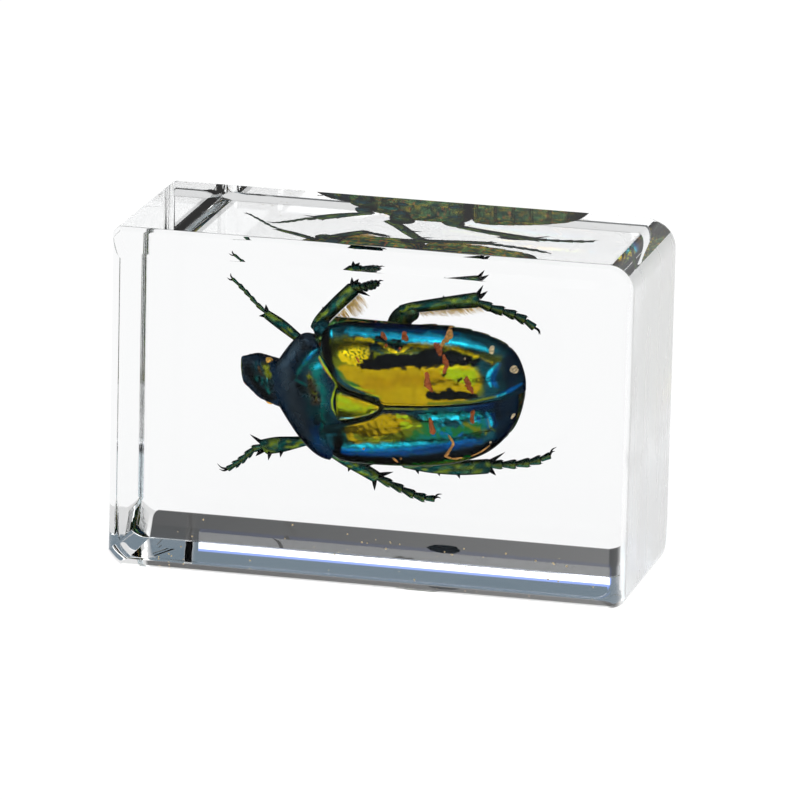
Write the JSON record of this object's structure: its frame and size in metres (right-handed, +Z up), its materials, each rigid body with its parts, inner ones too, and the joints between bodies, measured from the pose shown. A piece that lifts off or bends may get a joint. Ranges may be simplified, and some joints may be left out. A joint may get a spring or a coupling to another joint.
{
  "type": "insect in resin block",
  "caption": "Clear cast resin block with rounded edges that displays a metallic flower beetle sealed inside, seen from above through its front face.",
  "frame": {"origin": "centre of the block's bottom face", "axes": "+X along the block's width, to the right as seen from the front; +Y from the front face to the back face, through the thickness; +Z up"},
  "size_m": [0.044, 0.0186, 0.029],
  "materials": {
    "resin": "clear polished casting resin, see-through, with lightly scuffed end faces"
  },
  "bodies": {
    "root": {"resin_block": "resin"}
  },
  "joints": []
}
